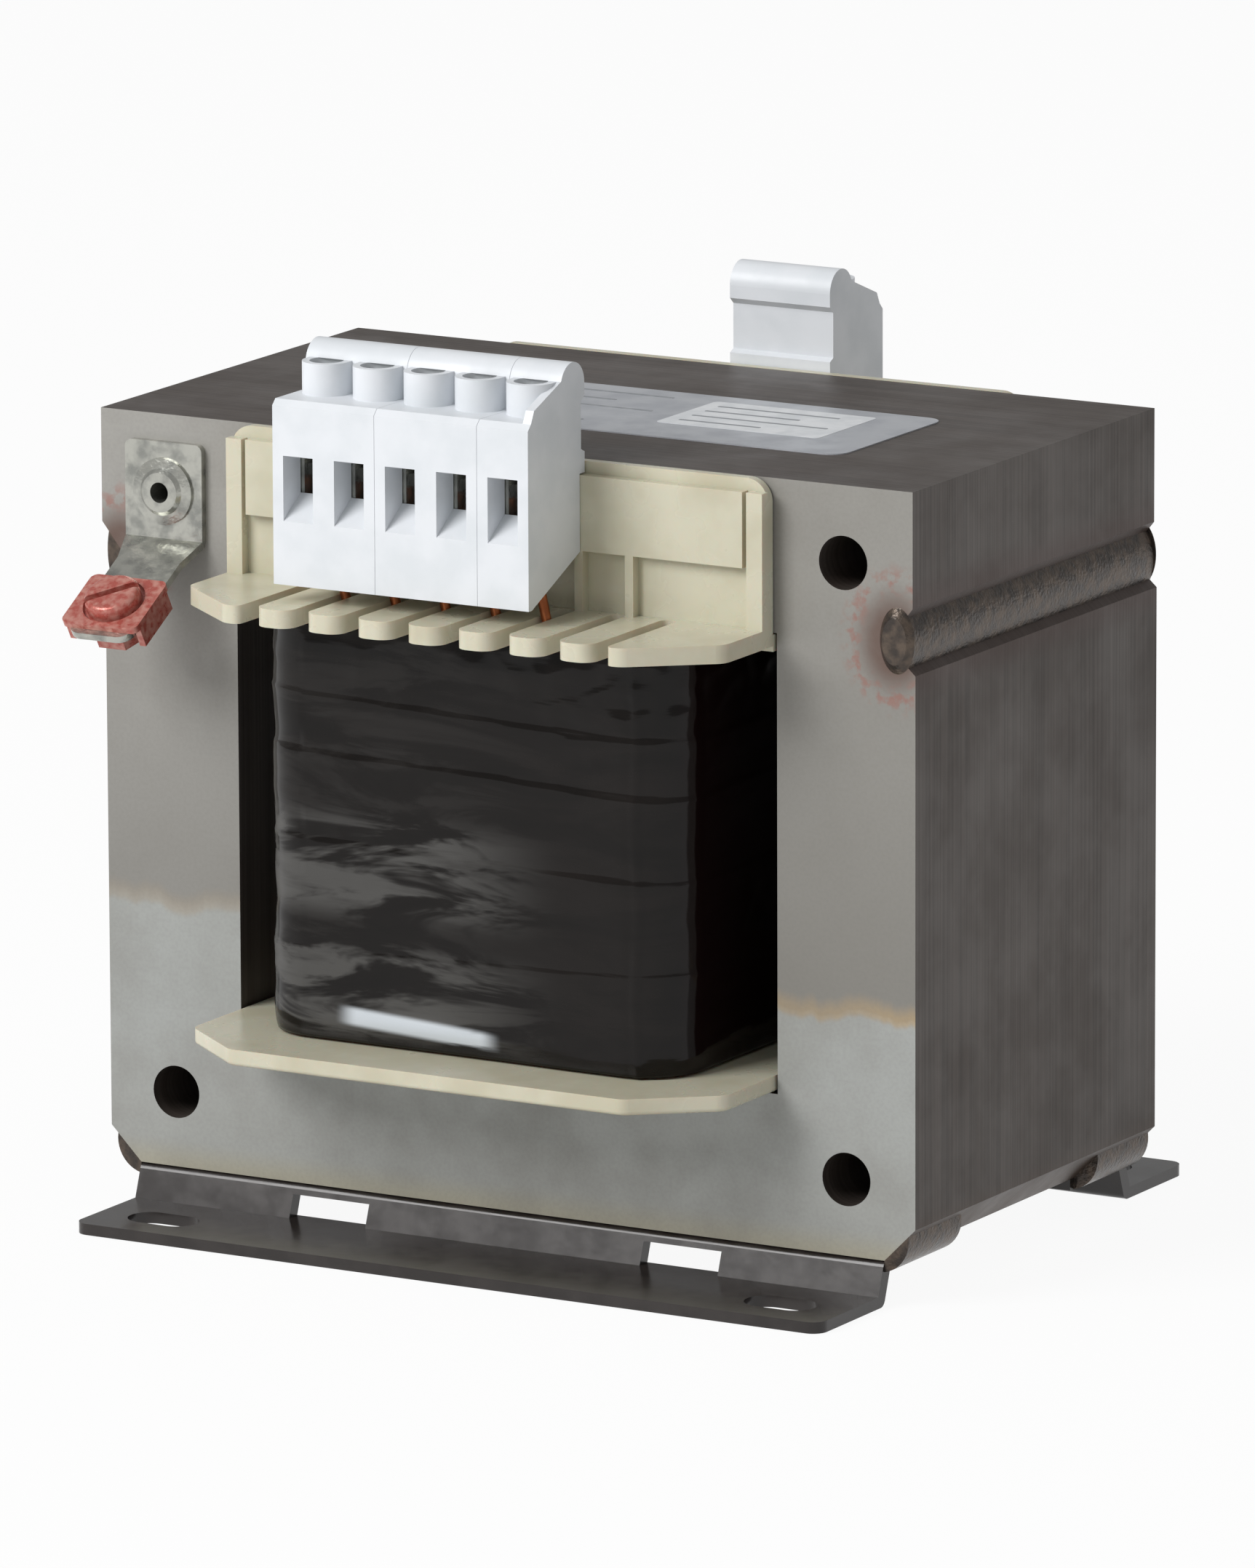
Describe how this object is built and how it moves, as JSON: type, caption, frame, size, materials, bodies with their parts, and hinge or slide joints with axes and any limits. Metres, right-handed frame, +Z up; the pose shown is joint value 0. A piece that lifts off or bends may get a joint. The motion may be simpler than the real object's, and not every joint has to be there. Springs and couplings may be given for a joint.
{
  "type": "laminated chassis transformer",
  "caption": "Mains control transformer with a welded E-I lamination core, wrapped coil on a comb bobbin, screw terminal blocks, earth clamp and two slotted feet.",
  "frame": {"origin": "centre of the four mounting slots, on the plane the feet stand on", "axes": "+Z up, X along the core's width, -Y towards the side with the longer terminal block"},
  "size_m": [0.1204, 0.107, 0.1193],
  "materials": {
    "lamination": "varnished electrical steel sheet, brown at the cut edges",
    "weld": "dark weld bead with heat tint",
    "foot_steel": "dark varnish-dipped steel, glossy",
    "bobbin_plastic": "natural ivory moulded nylon, slightly translucent",
    "copper": "enamelled copper wire",
    "insulation": "pressboard and film",
    "wrap_film": "black polyester tape, varnished and wrinkled",
    "terminal_plastic": "pale grey moulded polyamide",
    "zinc": "zinc-plated steel",
    "red_metal": "red-lacquered plated steel, worn"
  },
  "bodies": {
    "root": {"core_e_stack": "lamination", "core_i_stack": "lamination", "joint_weld_left": "weld", "joint_weld_right": "weld", "foot_front": "foot_steel", "foot_rear": "foot_steel", "foot_welds": "weld", "bobbin": "bobbin_plastic", "secondary_winding": "copper", "interlayer_insulation": "insulation", "primary_winding": "copper", "coil_wrap": "wrap_film", "terminal_block_front_left": "terminal_plastic", "terminal_block_front_middle": "terminal_plastic", "terminal_block_front_right": "terminal_plastic", "terminal_block_rear": "terminal_plastic", "clamp_cages_front": "zinc", "clamp_cages_rear": "zinc", "clamp_screws_front": "zinc", "clamp_screws_rear": "zinc", "winding_leads_front": "copper", "winding_leads_rear": "copper", "earth_strap": "zinc", "earth_rivet": "zinc", "earth_clamp": "red_metal", "earth_screw": "red_metal", "earth_nut": "red_metal"}
  },
  "joints": []
}
